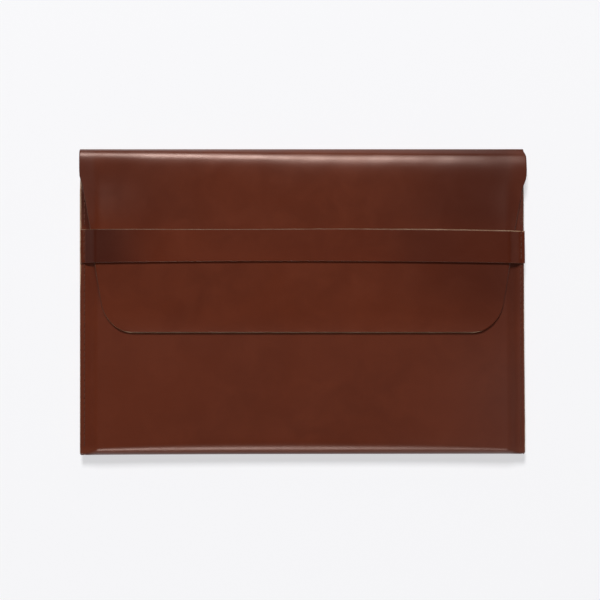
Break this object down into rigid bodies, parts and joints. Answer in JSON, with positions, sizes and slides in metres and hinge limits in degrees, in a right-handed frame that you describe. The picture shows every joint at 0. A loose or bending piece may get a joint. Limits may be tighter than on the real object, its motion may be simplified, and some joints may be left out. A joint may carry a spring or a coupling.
{
  "type": "laptop sleeve",
  "caption": "Brown leather envelope sleeve for a thin laptop, folded from one hide, with a flap that tucks under a sewn-on strap.",
  "frame": {"origin": "centre of the sleeve's outline, on the table under its back", "axes": "+X across the sleeve to the right as seen from the front, +Y from the bottom fold towards the top fold, +Z out of the front"},
  "size_m": [0.335, 0.23, 0.0193],
  "materials": {
    "hide": "oiled pull-up leather, smooth and slightly glossy, cloudy brown with raw cut edges",
    "strap_leather": "the same oiled leather, a little darker, raw cut edges",
    "thread": "waxed brown thread"
  },
  "bodies": {
    "pocket": {"back_panel": "hide", "bottom_fold": "hide", "front_panel": "hide", "top_fold": "hide", "strap": "strap_leather", "left_needle_thread": "thread", "left_bobbin_thread": "thread", "right_needle_thread": "thread", "right_bobbin_thread": "thread"},
    "flap": {"flap": "hide"}
  },
  "joints": [
    {"name": "flap_hinge", "type": "hinge", "parent": "pocket", "child": "flap", "pos_m": [0, 0.10643, 0.00857], "axis": [-1, 0, 0], "range_deg": [0, 178], "deforming": ["top_fold", "strap"]}
  ]
}
